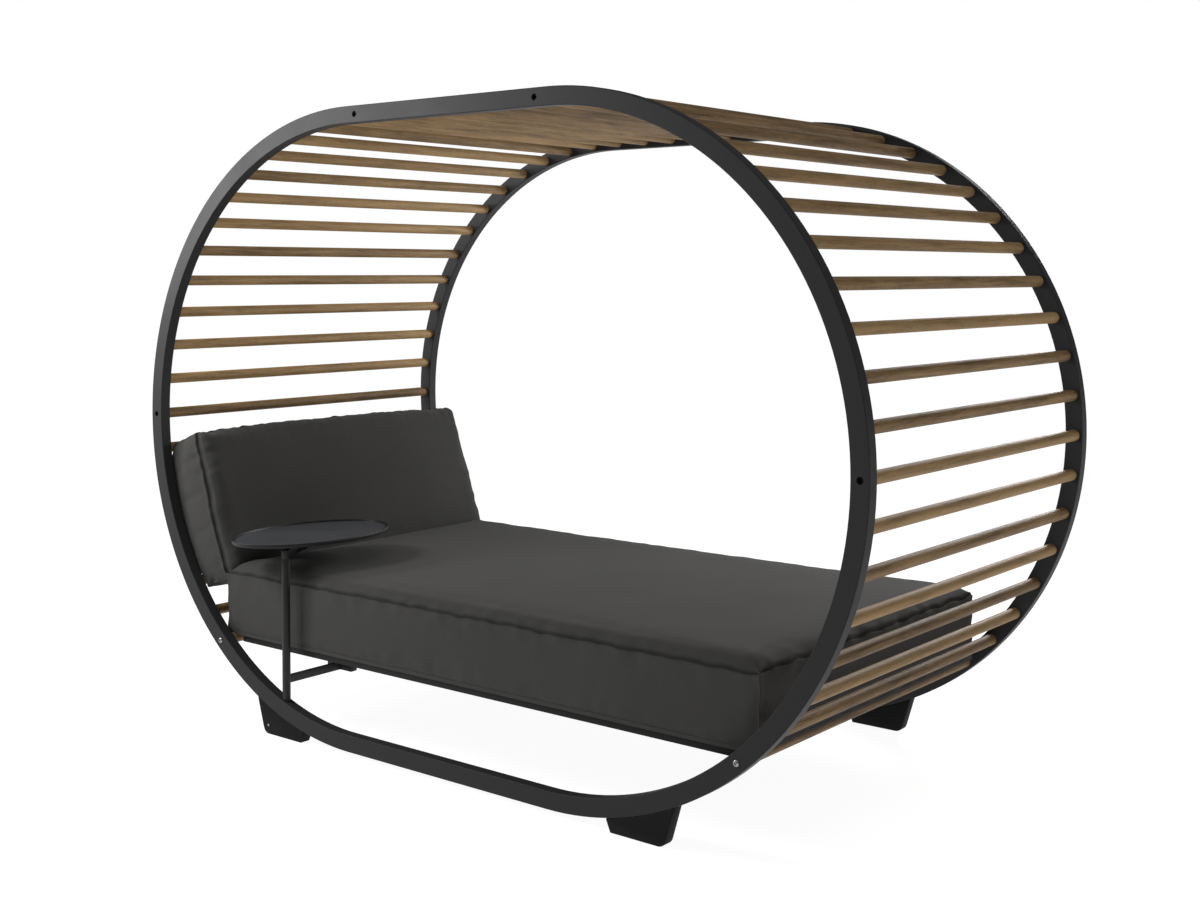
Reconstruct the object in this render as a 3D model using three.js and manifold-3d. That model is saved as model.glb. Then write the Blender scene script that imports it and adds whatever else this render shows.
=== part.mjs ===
// An outdoor daybed inside a pergola. Two oblong steel hoops stand on plastic feet and are held
// apart by round wooden slats, and a low bed with two cushions hangs between their lowest slats.
// A side table with an oval tray stands on the front hoop and swivels on its post.
// Millimetres, +Z up. +X points to the foot of the bed, -Y to the side with the table.
import * as THREE from 'three';
import { mergeVertices } from 'three/addons/utils/BufferGeometryUtils.js';
import Module from 'manifold-3d';

// Clearances
const touchGap = 0.3; // between pieces that touch
const overrun = 4; // how far a cut passes the face that it cuts
const gridStep = 1 / 1024; // vertices are kept on this grid, so faces meant to meet do so exactly

// Slats: plain round rods, each housed in the two hoops
const slatDiameter = 33;
const slatSides = 10;
const slatDivisions = 64; // equal steps round a hoop's centreline
const slatReach = 23; // steps from the top middle down to the last slat on each side
const socketDepth = 12; // how far a slat enters each hoop

// Hoops: bar bent to two half circles with straights between them
const slatMargin = 8.5; // bar left on each side of a slat
const hoopDepth = 35;
const endRadius = 946.5; // outer radius of the half circles
const straightLength = 767;
const floorClear = 13.5; // from the floor to the bottom of a hoop
const clearSpan = 1208; // between the hoops' inner faces
const arcSteps = 24; // steps to a quarter turn

// Tie bolts through the hoops into some of the slats, counted in steps from the top middle
const sunkBolts = [3, 16];
const proudBolts = [23];
const boltHoleDiameter = 10.5;
const boltHeadDiameter = 18;
const boltHeadDepth = 8;
const boltSides = 12;

// Feet: blocks as deep as a hoop, shaped to its underside
const footStart = 212.4; // from the end of the straight to the foot's inner bottom corner
const footLength = 160.2; // along the floor, before the heel is rounded
const footBlankHeight = 150;
const footCorner = 20; // how much of the heel's corner is rounded away
const toeLeanShare = 0.433;
const heelLeanShare = 0.3017;
const cornerSteps = 4;

// Bed: a deck board on two long beams, joined by cross members and hung on two of the slats
const bedSlat = 23; // the slats that carry the bed
const deckRise = 3.4; // the deck's top above those slats
const deckEndInset = 43; // from the middle of those slats back to the deck's ends
const deckSideInset = 4; // from the mattress's sides back to the deck's
const deckThickness = 27;
const beamWidth = 30;
const beamHeight = 58;
const beamInset = 209; // from a hoop's inner face to a beam's middle
const memberWidth = 30; // of the cross members
const memberHeight = 25;
const memberPitch = 450; // most from one cross member to the next
const endMemberInset = 98.2; // from the middle of the carrying slats back to the end members
const hangerThickness = 8;
const hangerHeel = 45; // degrees below level where a hanger starts to cradle its slat
const hangerTip = 25; // degrees above level where its hook ends, past the top
const hangerSteps = 8;

// Mattress
const mattressEndLap = 32; // past the middle of the carrying slats
const mattressSideGap = 16; // to the hoops' inner faces
const mattressHeight = 185; // up to the top seam
const mattressCrown = 28;
const mattressPulls = [5, 5]; // how far its ends and its sides draw in between corners
const mattressWaist = 3; // how far its walls draw in between seams
const mattressEdge = 9;
const mattressCells = [14, 8, 2];

// Back cushion: leans on the head end's slats, with its foot behind the mattress
const leanSlats = [17, 21];
const cushionHeight = 490;
const cushionFootDrop = 31; // its foot below the lower of those slats
const cushionFootGap = 8; // to the end of the mattress
const cushionTopThickness = 128.8;
const cushionCrown = 38;
const cushionPulls = [9, -10]; // its ends draw in, its top and foot swell
const cushionWaist = 6;
const cushionEdge = 14;
const cushionCells = [12, 7, 2];

// How a cushion's face fades from its crown to its seams
const crownPower = 2.4;
const edgeLineShare = 0.4;

// Side table
const trayLength = 572;
const trayWidth = 368;
const trayHeight = 12;
const trayRecess = 7;
const trayLip = 3.5;
const traySides = 48;
const trayEndInset = 32.2; // from the mattress's end to the tray's edge
const trayFront = 64; // how far the tray stands out in front of the hoop
const tableRise = 62; // from the mattress's crown to the bar under the tray
const barHeight = 25;
const barWidth = 10;
const padDiameter = 90;
const padThickness = 6;
const padSides = 32;
const postDiameter = 25;
const postBore = 20;
const postSides = 24;
const postInset = 114; // from the tray's middle to the post, along the bed
const spigotDiameter = 19.4;
const spigotLength = 60;
const spigotRelief = 6; // bore left below the spigot
const teeLength = 110;
const teeSection = 25;
const weldBite = 1; // how far a welded piece runs into the next

// Sizes that follow from those above
const slatRadius = slatDiameter / 2;
const hoopBar = slatDiameter + 2 * slatMargin;
const halfStraight = straightLength / 2;
const lineRadius = endRadius - hoopBar / 2;
const innerRadius = endRadius - hoopBar;
const middleHeight = floorClear + endRadius;
const innerFace = clearSpan / 2;
const outerFace = innerFace + hoopDepth;
const hoopMiddle = innerFace + hoopDepth / 2;
const slatPitch = (4 * halfStraight + 2 * Math.PI * lineRadius) / slatDivisions;

const wasm = await Module();
wasm.setup();

// The nearest place on the grid
function snap(value) {
  return Math.round(value / gridStep) * gridStep;
}

// Makes a closed geometry into a solid that can be joined and cut
function solid(geometry) {
  geometry.deleteAttribute('normal');
  geometry.deleteAttribute('uv');
  geometry.attributes.position.array.forEach((value, index, values) => {
    values[index] = snap(value);
  });
  const merged = mergeVertices(geometry, gridStep / 2);
  return new wasm.Manifold(new wasm.Mesh({
    numProp: 3,
    vertProperties: Float32Array.from(merged.attributes.position.array),
    triVerts: Uint32Array.from(merged.index.array),
  }));
}

// Makes a solid back into a geometry
function shell(body) {
  const mesh = body.getMesh();
  const geometry = new THREE.BufferGeometry();
  geometry.setAttribute('position', new THREE.BufferAttribute(mesh.vertProperties, mesh.numProp));
  geometry.setIndex(new THREE.BufferAttribute(mesh.triVerts, 1));
  geometry.computeVertexNormals();
  return geometry;
}

// A block between two values on each axis
function block(...ranges) {
  const [[left, right], [front, back], [low, high]] = ranges.map((range) => range.map(snap));
  const geometry = new THREE.BoxGeometry(right - left, back - front, high - low);
  geometry.translate((left + right) / 2, (front + back) / 2, (low + high) / 2);
  return solid(geometry);
}

// A plate whose outline is drawn in X and Z, from one depth to another
function plate(outline, frontFace, backFace) {
  const [front, back] = [frontFace, backFace].map(snap);
  const geometry = new THREE.ExtrudeGeometry(outline, {
    depth: back - front, bevelEnabled: false, curveSegments: arcSteps,
  });
  geometry.rotateX(Math.PI / 2);
  geometry.translate(0, back, 0);
  return solid(geometry);
}

// A round rod along Y
function rod(diameter, sides, frontEnd, backEnd, x, z) {
  const [front, back] = [frontEnd, backEnd].map(snap);
  const geometry = new THREE.CylinderGeometry(diameter / 2, diameter / 2, back - front, sides);
  geometry.translate(x, (front + back) / 2, z);
  return solid(geometry);
}

// A round upright
function upright(diameter, sides, x, y, bottom, top) {
  const [low, high] = [bottom, top].map(snap);
  const geometry = new THREE.CylinderGeometry(diameter / 2, diameter / 2, high - low, sides);
  geometry.rotateX(Math.PI / 2);
  geometry.translate(x, y, (low + high) / 2);
  return solid(geometry);
}

// The hoop's outline at one radius, drawn about its own middle
function oblong(path, radius) {
  path.moveTo(halfStraight, -radius);
  path.absarc(halfStraight, 0, radius, -Math.PI / 2, Math.PI / 2, false);
  path.absarc(-halfStraight, 0, radius, Math.PI / 2, 3 * Math.PI / 2, false);
  path.closePath();
  return path;
}

// The oblong at one radius, filled, from one depth to another
function filledHoop(radius, front, back) {
  return plate(oblong(new THREE.Shape(), radius), front, back).translate([0, 0, middleHeight]);
}

// The place on a hoop's centreline so many steps from its top middle
function ringPlace(steps) {
  const along = Math.abs(steps) * slatPitch;
  const side = Math.sign(steps);
  if (along <= halfStraight) {
    return { x: side * along, z: middleHeight + lineRadius };
  }
  const turn = (along - halfStraight) / lineRadius;
  return {
    x: side * (halfStraight + lineRadius * Math.sin(turn)),
    z: middleHeight + lineRadius * Math.cos(turn),
  };
}

const daybed = new THREE.Group();

// Adds a named piece with a finish of its own
function addPiece(name, geometry, finish, parent = daybed) {
  const piece = new THREE.Mesh(geometry, new THREE.MeshStandardMaterial(finish));
  piece.name = name;
  parent.add(piece);
  return piece;
}

const hoopFinish = { color: 0x45474a, roughness: 0.5, metalness: 0.4 };
const slatFinish = { color: 0xa07a4c, roughness: 0.65, metalness: 0 };
const footFinish = { color: 0x1e1e1f, roughness: 0.75, metalness: 0 };
const bedFinish = { color: 0x2c2d2e, roughness: 0.55, metalness: 0.4 };
const deckFinish = { color: 0x3a3936, roughness: 0.8, metalness: 0 };
const clothFinish = { color: 0x3e3e3b, roughness: 0.95, metalness: 0 };
const tableFinish = { color: 0x3a3b3c, roughness: 0.5, metalness: 0.4 };

const slatSteps = [];
for (let step = -slatReach; step <= slatReach; step++) slatSteps.push(step);

// Hoops, with a blind socket for each slat and holes for the tie bolts. The rear hoop is the
// front one turned half round, so the bolt heads face outwards on both.
function makeHoop() {
  let hoop = filledHoop(endRadius, -outerFace, -innerFace);
  hoop = hoop.subtract(filledHoop(innerRadius, -outerFace - overrun, -innerFace + overrun));
  const socket = slatDiameter + 2 * touchGap;
  const socketEnd = -innerFace - socketDepth;
  for (const step of slatSteps) {
    const { x, z } = ringPlace(step);
    hoop = hoop.subtract(rod(socket, slatSides, socketEnd, -innerFace + overrun, x, z));
  }
  for (const step of [...sunkBolts, ...proudBolts]) {
    for (const side of [-1, 1]) {
      const { x, z } = ringPlace(side * step);
      hoop = hoop.subtract(rod(
        boltHoleDiameter, boltSides, -outerFace - overrun, socketEnd + overrun, x, z,
      ));
      if (sunkBolts.includes(step)) {
        hoop = hoop.subtract(rod(
          boltHeadDiameter, boltSides, -outerFace - overrun, -outerFace + boltHeadDepth, x, z,
        ));
      }
    }
  }
  return shell(hoop);
}

const hoopShape = makeHoop();
addPiece('hoop_front', hoopShape, hoopFinish);
addPiece('hoop_rear', hoopShape.clone(), hoopFinish).rotation.z = Math.PI;

// Slats, numbered from the head end over the top to the foot end
const slatEnd = innerFace + socketDepth - touchGap;
const slatShape = new THREE.CylinderGeometry(slatRadius, slatRadius, 2 * slatEnd, slatSides);
slatSteps.forEach((step, index) => {
  const { x, z } = ringPlace(step);
  const number = String(index + 1).padStart(2, '0');
  addPiece(`slat_${number}`, slatShape.clone(), slatFinish).position.set(x, 0, z);
});

// Feet: one shape, used as it is at the foot end and turned half round at the head end
function makeFoot() {
  const toe = halfStraight + footStart;
  const heel = toe + footLength;
  const heelLean = Math.hypot(1, heelLeanShare);
  const outline = new THREE.Shape();
  outline.moveTo(toe, 0);
  outline.lineTo(heel - footCorner, 0);
  outline.quadraticCurveTo(
    heel, 0,
    heel + footCorner * heelLeanShare / heelLean, footCorner / heelLean,
  );
  outline.lineTo(heel + footBlankHeight * heelLeanShare, footBlankHeight);
  outline.lineTo(toe - footBlankHeight * toeLeanShare, footBlankHeight);
  outline.closePath();
  const geometry = new THREE.ExtrudeGeometry(outline, {
    depth: hoopDepth, bevelEnabled: false, curveSegments: cornerSteps,
  });
  geometry.rotateX(Math.PI / 2);
  geometry.translate(0, hoopDepth / 2, 0);
  return shell(solid(geometry).subtract(filledHoop(endRadius + touchGap, -hoopDepth, hoopDepth)));
}

const footShape = makeFoot();
for (const [row, side] of [['front', -1], ['rear', 1]]) {
  for (const [end, turn] of [['head', Math.PI], ['tail', 0]]) {
    const foot = addPiece(`foot_${row}_${end}`, footShape.clone(), footFinish);
    foot.position.y = side * hoopMiddle;
    foot.rotation.z = turn;
  }
}

// Bed frame: hangers at the ends of its beams hook over the lowest slats, under the mattress
const carry = ringPlace(bedSlat);
const bedHalfWidth = innerFace - mattressSideGap;
const deckTop = carry.z + slatRadius + deckRise;
const deckBottom = deckTop - deckThickness;
const deckEnd = carry.x - deckEndInset;
const deckSide = bedHalfWidth - deckSideInset;
const beamTop = deckBottom - touchGap;
const beamBottom = beamTop - beamHeight;
const beamMiddle = innerFace - beamInset;
const endMember = carry.x - endMemberInset;
const beamEnd = endMember + memberWidth / 2 + weldBite;
const memberTop = beamTop - weldBite;
const memberBottom = memberTop - memberHeight;

// A hanger: a plate out from a beam's end that cradles the slat and ends level with the deck
function makeHanger(side, middle) {
  const rim = slatRadius + deckRise;
  const bore = (slatRadius + touchGap) / Math.cos(Math.PI / (2 * hangerSteps)); // flats clear the slat
  const heel = Math.PI + THREE.MathUtils.degToRad(hangerHeel);
  const tip = THREE.MathUtils.degToRad(hangerTip);
  const outline = new THREE.Shape();
  outline.moveTo(beamEnd - weldBite, memberBottom);
  outline.lineTo(carry.x + bore * Math.cos(heel), carry.z + bore * Math.sin(heel));
  outline.absarc(carry.x, carry.z, bore, heel, tip, true);
  outline.absarc(carry.x, carry.z, rim, tip, Math.PI, false);
  outline.lineTo(carry.x - rim, memberTop);
  outline.lineTo(beamEnd - weldBite, memberTop);
  outline.closePath();
  const geometry = new THREE.ExtrudeGeometry(outline, {
    depth: hangerThickness, bevelEnabled: false, curveSegments: hangerSteps,
  });
  geometry.rotateX(Math.PI / 2);
  geometry.translate(0, hangerThickness / 2, 0);
  if (side < 0) geometry.rotateZ(Math.PI);
  geometry.translate(0, middle, 0);
  return solid(geometry);
}

function makeBedFrame() {
  const frame = [];
  for (const side of [-1, 1]) {
    const middle = side * beamMiddle;
    frame.push(block(
      [-beamEnd, beamEnd], [middle - beamWidth / 2, middle + beamWidth / 2], [beamBottom, beamTop],
    ));
    frame.push(makeHanger(-1, middle), makeHanger(1, middle));
  }

  // Cross members from beam to beam, spread evenly
  const bays = Math.ceil(2 * endMember / memberPitch);
  const reach = beamMiddle - beamWidth / 2 + weldBite;
  for (let member = 0; member <= bays; member++) {
    const x = 2 * endMember * member / bays - endMember;
    frame.push(block(
      [x - memberWidth / 2, x + memberWidth / 2], [-reach, reach], [memberBottom, memberTop],
    ));
  }
  return shell(frame.reduce((whole, part) => whole.add(part)));
}

addPiece('bed_frame', makeBedFrame(), bedFinish);
addPiece('bed_deck', shell(block(
  [-deckEnd, deckEnd], [-deckSide, deckSide], [deckBottom, deckTop],
)), deckFinish);

// Grid lines across one side of a cushion: close at the rounded edges, even between them
function gridStops(size, edge, cells) {
  const half = size / 2;
  const stops = [-half, -half + edge * edgeLineShare];
  for (let cell = 0; cell <= cells; cell++) {
    stops.push(-half + edge + (size - 2 * edge) * cell / cells);
  }
  stops.push(half - edge * edgeLineShare, half);
  return stops;
}

// A boxed cushion lying on z = 0, with a crowned top face. Its ends and sides draw in between the
// corners and between the seams. Its thickness may grow along its width, and its underside may sink
// below zero by as much as the sink function gives for a place across it.
function cushion({ length, width, thickness, taper, sink, crown, pulls, waist, edge, cells }) {
  const sizes = [length, width, thickness];
  const stops = sizes.map((size, axis) => gridStops(size, edge, cells[axis]));
  const counts = stops.map((lines) => lines.length - 1);
  const geometry = new THREE.BoxGeometry(...counts, ...counts);
  const places = geometry.attributes.position;
  for (let index = 0; index < places.count; index++) {
    const square = stops.map((lines, axis) => (
      lines[Math.round(places.getComponent(index, axis) + counts[axis] / 2)]
    ));
    const core = square.map((value, axis) => (
      THREE.MathUtils.clamp(value, edge - sizes[axis] / 2, sizes[axis] / 2 - edge)
    ));
    const off = square.map((value, axis) => value - core[axis]);
    const distance = Math.hypot(...off);
    const round = distance > 0 ? Math.max(...off.map(Math.abs)) / distance : 1;
    const [x, y, z] = core.map((value, axis) => value + off[axis] * round);

    const along = 2 * x / length;
    const across = 2 * y / width;
    const height = (z + thickness / 2) / thickness;
    const fadeAlong = 1 - Math.abs(along) ** crownPower;
    const fadeAcross = 1 - Math.abs(across) ** crownPower;
    const belly = waist * 4 * height * (1 - height);
    const [endPull, sidePull] = pulls;
    const place = y - across * (sidePull * fadeAlong + belly);
    places.setXYZ(
      index,
      x - along * (endPull * fadeAcross + belly),
      place,
      height * (thickness * (1 + taper * across) + crown * fadeAlong * fadeAcross)
        - (1 - height) * sink(place),
    );
  }
  return shell(solid(geometry));
}

// Mattress
const mattressHalf = carry.x + mattressEndLap;
const mattressBottom = deckTop + touchGap;
addPiece('mattress', cushion({
  length: 2 * mattressHalf,
  width: 2 * bedHalfWidth,
  thickness: mattressHeight,
  taper: 0,
  sink: () => 0,
  crown: mattressCrown,
  pulls: mattressPulls,
  waist: mattressWaist,
  edge: mattressEdge,
  cells: mattressCells,
}), clothFinish).position.z = mattressBottom;

// Back cushion: its back follows the curve of the slats that it leans on, and its foot is as
// thick as the space behind the mattress allows
const leanTurn = ((leanSlats[0] + leanSlats[1]) / 2 * slatPitch - halfStraight) / lineRadius;
const leanSpread = (leanSlats[1] - leanSlats[0]) / 2 * slatPitch / lineRadius;
const towardsSlats = new THREE.Vector3(-Math.sin(leanTurn), 0, Math.cos(leanTurn));
const upTheSlats = new THREE.Vector3(Math.cos(leanTurn), 0, Math.sin(leanTurn));
const backDistance = lineRadius * Math.cos(leanSpread) - slatRadius - touchGap;
const backRadius = lineRadius - slatRadius - touchGap;
const footAlong = -lineRadius * Math.sin(leanSpread) - cushionFootDrop;
const backFoot = new THREE.Vector3(-halfStraight, 0, middleHeight)
  .addScaledVector(towardsSlats, backDistance)
  .addScaledVector(upTheSlats, footAlong);
const footThickness = (backFoot.x + mattressHalf + cushionFootGap) / towardsSlats.x;
const meanThickness = (cushionTopThickness + footThickness) / 2;
const middleAlong = footAlong + cushionHeight / 2;

const backCushion = addPiece('back_cushion', cushion({
  length: 2 * bedHalfWidth,
  width: cushionHeight,
  thickness: meanThickness,
  taper: (cushionTopThickness - footThickness) / (2 * meanThickness),
  sink: (place) => Math.sqrt(backRadius ** 2 - (middleAlong + place) ** 2) - backDistance,
  crown: cushionCrown,
  pulls: cushionPulls,
  waist: cushionWaist,
  edge: cushionEdge,
  cells: cushionCells,
}), clothFinish);
backCushion.position.copy(backFoot).addScaledVector(upTheSlats, cushionHeight / 2);
backCushion.setRotationFromMatrix(new THREE.Matrix4().makeBasis(
  new THREE.Vector3(0, 1, 0), upTheSlats, towardsSlats.clone().negate(),
));

// Side table. Its post stands in the front hoop, tied to a beam of the bed by the lower arm.
const trayX = -mattressHalf + trayEndInset + trayWidth / 2;
const trayY = -outerFace - trayFront + trayLength / 2;
const postX = trayX + postInset;
const postY = -hoopMiddle;
const barBottom = mattressBottom + mattressHeight + mattressCrown + tableRise;
const barTop = barBottom + barHeight;
const postTop = barBottom - touchGap;
const teeTop = beamBottom - touchGap;
const trayBottom = barTop + padThickness + touchGap;
const trayTop = trayBottom + trayHeight;

function makeTableStand() {
  const post = upright(postDiameter, postSides, postX, postY, floorClear, postTop)
    .intersect(filledHoop(innerRadius - touchGap, -outerFace, -innerFace))
    .subtract(upright(
      postBore, postSides, postX, postY, postTop - spigotLength - spigotRelief, postTop + overrun,
    ));
  const arm = block(
    [postX - barWidth / 2, postX + barWidth / 2],
    [postY, -beamMiddle],
    [teeTop - barHeight, teeTop],
  );
  const tee = block(
    [postX - teeLength / 2, postX + teeLength / 2],
    [-beamMiddle - teeSection / 2, -beamMiddle + teeSection / 2],
    [teeTop - teeSection, teeTop],
  );
  return shell(post.add(arm).add(tee));
}

// The turning part: a hub and spigot in the post, a bar out to the tray and a round pad under it
function makeSwivelArm() {
  const reach = Math.hypot(trayX - postX, trayY - postY);
  const bar = new THREE.BoxGeometry(barWidth, reach, barHeight);
  bar.translate(0, reach / 2, 0);
  bar.rotateZ(Math.atan2(postX - trayX, trayY - postY));
  bar.translate(postX, postY, (barBottom + barTop) / 2);
  return shell(
    upright(postDiameter, postSides, postX, postY, barBottom, barTop)
      .add(upright(
        spigotDiameter, postSides, postX, postY, postTop - spigotLength, barBottom + weldBite,
      ))
      .add(solid(bar))
      .add(upright(
        padDiameter, padSides, trayX, trayY, barTop - weldBite, barTop + padThickness,
      )),
  );
}

// An oval block, as long and wide as the tray less an inset all round
function oval(inset, low, high) {
  const outline = new THREE.Shape();
  outline.absellipse(trayX, trayY, trayWidth / 2 - inset, trayLength / 2 - inset, 0, 2 * Math.PI);
  const geometry = new THREE.ExtrudeGeometry(outline, {
    depth: high - low, bevelEnabled: false, curveSegments: traySides / 2,
  });
  geometry.translate(0, 0, low);
  return solid(geometry);
}

addPiece('table_stand', makeTableStand(), tableFinish);
addPiece('table_swivel_arm', makeSwivelArm(), tableFinish);
addPiece('table_tray', shell(
  oval(0, trayBottom, trayTop).subtract(oval(trayLip, trayTop - trayRecess, trayTop + overrun)),
), tableFinish);

// The middle of the whole, tray and all, stands over the origin
daybed.position.y = trayFront / 2;

export default daybed;
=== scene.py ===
import math

import bmesh
import bpy
import numpy as np
from mathutils import Matrix, Vector, noise


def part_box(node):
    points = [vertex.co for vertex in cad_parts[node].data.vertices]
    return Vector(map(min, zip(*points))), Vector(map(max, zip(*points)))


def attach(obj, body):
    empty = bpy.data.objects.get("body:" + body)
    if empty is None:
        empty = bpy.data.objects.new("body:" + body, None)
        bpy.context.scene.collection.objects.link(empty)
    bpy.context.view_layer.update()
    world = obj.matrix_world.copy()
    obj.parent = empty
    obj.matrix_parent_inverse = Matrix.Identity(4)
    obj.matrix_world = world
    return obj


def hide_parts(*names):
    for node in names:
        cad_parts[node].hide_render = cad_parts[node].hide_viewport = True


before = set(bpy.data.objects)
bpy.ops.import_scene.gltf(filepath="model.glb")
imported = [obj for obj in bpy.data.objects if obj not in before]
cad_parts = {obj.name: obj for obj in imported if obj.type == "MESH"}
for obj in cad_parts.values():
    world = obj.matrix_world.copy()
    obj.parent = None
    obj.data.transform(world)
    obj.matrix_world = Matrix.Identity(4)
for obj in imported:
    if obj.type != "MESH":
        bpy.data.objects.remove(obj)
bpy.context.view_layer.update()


# The viewpoint: off the foot end's front corner, a little above the mattress, as a person would
# stand to take the whole daybed. Solved from the two hoops.
camera = bpy.data.objects.new("camera", bpy.data.cameras.new("camera"))
bpy.context.collection.objects.link(camera)
camera.location = (2.9878, -3.6499, 1.4240)
camera.rotation_euler = [math.radians(angle) for angle in (87.891, 0, 38.982)]
camera.data.lens = 46.224
camera.data.shift_x = 0.009787
camera.data.shift_y = -0.100367
bpy.context.scene.camera = camera


# Hoops: two oblongs of rectangular metal bar, bent on the hard way, standing front and rear. The
# bar has softly rounded edges, blind sockets for the slats and counterbored holes for the tie
# bolts, and is powder coated in satin anthracite.
class Wire:
    """A socket in a material: sums on it add Math nodes, and node() adds any other node."""

    def __init__(self, tree, socket=None):
        self.tree = tree
        self.socket = socket

    def node(self, kind, settings=None, sockets=None, out=0):
        made = self.tree.nodes.new("ShaderNode" + kind)
        for name, value in (settings or {}).items():
            if name == "stops":
                elements = made.color_ramp.elements
                while len(elements) < len(value):
                    elements.new(0.5)
                for element, (position, colour) in zip(elements, value):
                    element.position = position
                    element.color = (*colour, 1)
            else:
                setattr(made, name, value)
        for name, value in (sockets or {}).items():
            socket = pick(made.inputs, name)
            if isinstance(value, Wire):
                self.tree.links.new(value.socket, socket)
            else:
                socket.default_value = value
        return Wire(self.tree, pick(made.outputs, out) if made.outputs else None)

    def maths(self, operation, *values):
        return self.node("Math", {"operation": operation}, dict(enumerate(values)))

    def __add__(self, other):
        return self.maths("ADD", self, other)

    def __radd__(self, other):
        return self.maths("ADD", other, self)

    def __sub__(self, other):
        return self.maths("SUBTRACT", self, other)

    def __rsub__(self, other):
        return self.maths("SUBTRACT", other, self)

    def __mul__(self, other):
        return self.maths("MULTIPLY", self, other)

    def __rmul__(self, other):
        return self.maths("MULTIPLY", other, self)


def pick(sockets, key):
    if isinstance(key, int):
        return sockets[key]
    return next(socket for socket in sockets if key in (socket.identifier, socket.name))


def new_material(name):
    material = bpy.data.materials.new(name)
    material.use_nodes = True
    material.node_tree.nodes.clear()
    return material, Wire(material.node_tree)


def speckle(start, place, scale, detail=2.0, roughness=0.5, **more):
    sockets = {"Vector": place, "Scale": scale, "Detail": detail, "Roughness": roughness}
    return start.node("TexNoise", None, {**sockets, **more}, out="Fac")


def blend_colours(start, share, first, second):
    sockets = {"Factor_Float": share}
    for key, colour in (("A_Color", first), ("B_Color", second)):
        sockets[key] = colour if isinstance(colour, Wire) else (*colour, 1)
    return start.node("Mix", {"data_type": "RGBA"}, sockets, out="Result_Color")


def close_surface(start, sockets, height=None, strength=0.3, distance=0.001):
    if height is not None:
        sockets["Normal"] = start.node(
            "Bump", None, {"Height": height, "Strength": strength, "Distance": distance})
    shader = start.node("BsdfPrincipled", None, sockets)
    start.node("OutputMaterial", None, {"Surface": shader})


def powder_coat(name, colour, rough, shine=0.3):
    """Baked powder: a fine pebbled skin with small darker and lighter specks."""
    material, start = new_material(name)
    place = start.node("TexCoord", out="Object")
    grain = speckle(start, place, 1500, 2, 0.6)
    peel = speckle(start, place, 420, 2, 0.5)
    cloud = speckle(start, place, 7, 4, 0.55)
    share = (grain - 0.5) * 0.9 + (cloud - 0.5) * 0.7 + 0.5
    dark = [part * 0.84 for part in colour]
    light = [part * 1.18 for part in colour]
    close_surface(start, {
        "Base Color": blend_colours(start, share, dark, light),
        "Roughness": rough + (cloud - 0.5) * 0.16 + (grain - 0.5) * 0.1,
        "Specular IOR Level": shine,
    }, peel * 0.65 + grain * 0.35, 0.22, 0.0004)
    return material


def finish_mesh(name, mesh, material, body="root", replaces=(), sharp=30):
    """Links a finished mesh at the origin, shades it, hangs it on its body and hides the parts it
    replaces.
    """
    mesh.name = name
    mesh.shade_smooth()
    if sharp is not None:
        mesh.set_sharp_from_angle(angle=math.radians(sharp))
    mesh.materials.clear()
    mesh.materials.append(material)
    piece = bpy.data.objects.new(name, mesh)
    bpy.context.collection.objects.link(piece)
    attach(piece, body)
    if replaces:
        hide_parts(*replaces)
    return piece


def baked(piece):
    """The mesh that an object's modifiers give, as plain data. The object is removed."""
    bpy.context.view_layer.update()
    depsgraph = bpy.context.evaluated_depsgraph_get()
    mesh = bpy.data.meshes.new_from_object(piece.evaluated_get(depsgraph), depsgraph=depsgraph)
    bpy.data.objects.remove(piece)
    return mesh


def loose_object(name, verts, faces):
    mesh = bpy.data.meshes.new(name)
    mesh.from_pydata([tuple(vert) for vert in verts], [], faces)
    mesh.update()
    piece = bpy.data.objects.new(name, mesh)
    bpy.context.collection.objects.link(piece)
    return piece


def rounded_profile(width, depth, radius):
    """A rectangle with rounded corners, and points close by on the flats to hold the shading."""
    steps, support = 4, 0.0012
    points = []
    for turn, (side_w, side_d) in enumerate(((1, 1), (-1, 1), (-1, -1), (1, -1))):
        middle = Vector((side_w * (width / 2 - radius), side_d * (depth / 2 - radius)))
        corner = []
        for step in range(steps + 1):
            angle = math.pi / 2 * (turn + step / steps)
            corner.append(middle + radius * Vector((math.cos(angle), math.sin(angle))))
        ahead = Vector((-math.sin(math.pi / 2 * turn), math.cos(math.pi / 2 * turn)))
        points.append(corner[0] - ahead * support)
        points += corner
        beyond = Vector((-math.cos(math.pi / 2 * turn), -math.sin(math.pi / 2 * turn)))
        points.append(corner[-1] + beyond * support)
    return points


def skin_faces(rows, count, closed=False):
    """Quads between rows of points, each row a loop, and from the last row on if it is closed."""
    return [(row * count + column, row * count + (column + 1) % count,
             (row + 1) % rows * count + (column + 1) % count, (row + 1) % rows * count + column)
            for row in range(rows if closed else rows - 1) for column in range(count)]


def swept_ring(stations, profile):
    """Skins a profile round a closed line of stations: (place, outward way, sideways way)."""
    verts = [
        place + outward * along + aside * across
        for place, outward, aside in stations for along, across in profile
    ]
    return verts, skin_faces(len(stations), len(profile), closed=True)


def facing_out(mesh):
    work = bmesh.new()
    work.from_mesh(mesh)
    bmesh.ops.recalc_face_normals(work, faces=work.faces)
    work.to_mesh(mesh)
    work.free()
    return mesh


def drum(radius, sides, start, end, centre):
    """A closed round plug along Y, as points and faces."""
    rim = [(math.cos(2 * math.pi * step / sides), math.sin(2 * math.pi * step / sides))
           for step in range(sides)]
    verts = [Vector((centre[0] + radius * x, y, centre[1] + radius * z))
             for y in (start, end) for x, z in rim]
    faces = [list(range(sides)), list(range(2 * sides - 1, sides - 1, -1))]
    for side in range(sides):
        following = (side + 1) % sides
        faces.append((side, side + sides, following + sides, following))
    return verts, faces


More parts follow.
